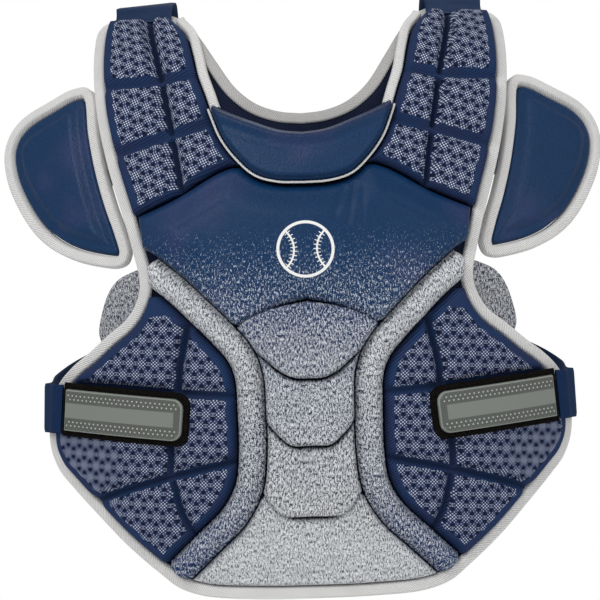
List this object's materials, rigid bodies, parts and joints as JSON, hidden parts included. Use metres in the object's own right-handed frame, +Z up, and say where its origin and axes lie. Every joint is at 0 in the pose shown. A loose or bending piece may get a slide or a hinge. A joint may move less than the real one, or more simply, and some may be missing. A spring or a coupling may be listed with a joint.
{
  "type": "softball chest protector",
  "caption": "Padded softball chest protector in its worn form, with quilted shoulder and side pads, a raised collar, arm caps, bound edges and plain back straps.",
  "frame": {"origin": "between the shoulders, in the middle of the wearer's torso, level with the shoulders' top", "axes": "+Z up along the wearer, -Y to the front, +X towards the viewer's right when seen from the front"},
  "size_m": [0.4718, 0.256, 0.4716],
  "materials": {
    "navy_leather": "smooth fine-grained synthetic leather with a soft sheen",
    "quilted_mesh": "navy knitted mesh with lines of white dots, quilted over foam",
    "heather": "light grey fabric with dark flecks over foam",
    "white_binding": "white ribbed twill tape",
    "lining": "dark navy matt mesh",
    "webbing": "navy elastic webbing",
    "hook_fabric": "black hook fabric",
    "rubber": "soft matt grey rubber"
  },
  "bodies": {
    "root": {"apron": "heather", "arm_cap_binding_left": "white_binding", "arm_cap_binding_right": "white_binding", "arm_cap_left": "navy_leather", "arm_cap_right": "navy_leather", "arm_cap_tab_left": "webbing", "arm_cap_tab_right": "webbing", "back_pad": "lining", "chest_plate": "navy_leather", "collar": "navy_leather", "collar_piping": "white_binding", "edge_binding": "white_binding", "flex_band_left": "heather", "flex_band_right": "heather", "hook_patch_left": "hook_fabric", "hook_patch_right": "hook_fabric", "liner": "lining", "pad_edge_binding_left": "white_binding", "pad_edge_binding_right": "white_binding", "rubber_tab_left": "rubber", "rubber_tab_right": "rubber", "scale_lower": "heather", "scale_middle": "heather", "scale_upper": "heather", "shoulder_pad_left": "quilted_mesh", "shoulder_pad_right": "quilted_mesh", "shoulder_strap_left": "webbing", "shoulder_strap_right": "webbing", "side_pad_left": "quilted_mesh", "side_pad_right": "quilted_mesh", "side_strap_left": "webbing", "side_strap_right": "webbing", "wing_left": "heather", "wing_right": "heather"}
  },
  "joints": []
}
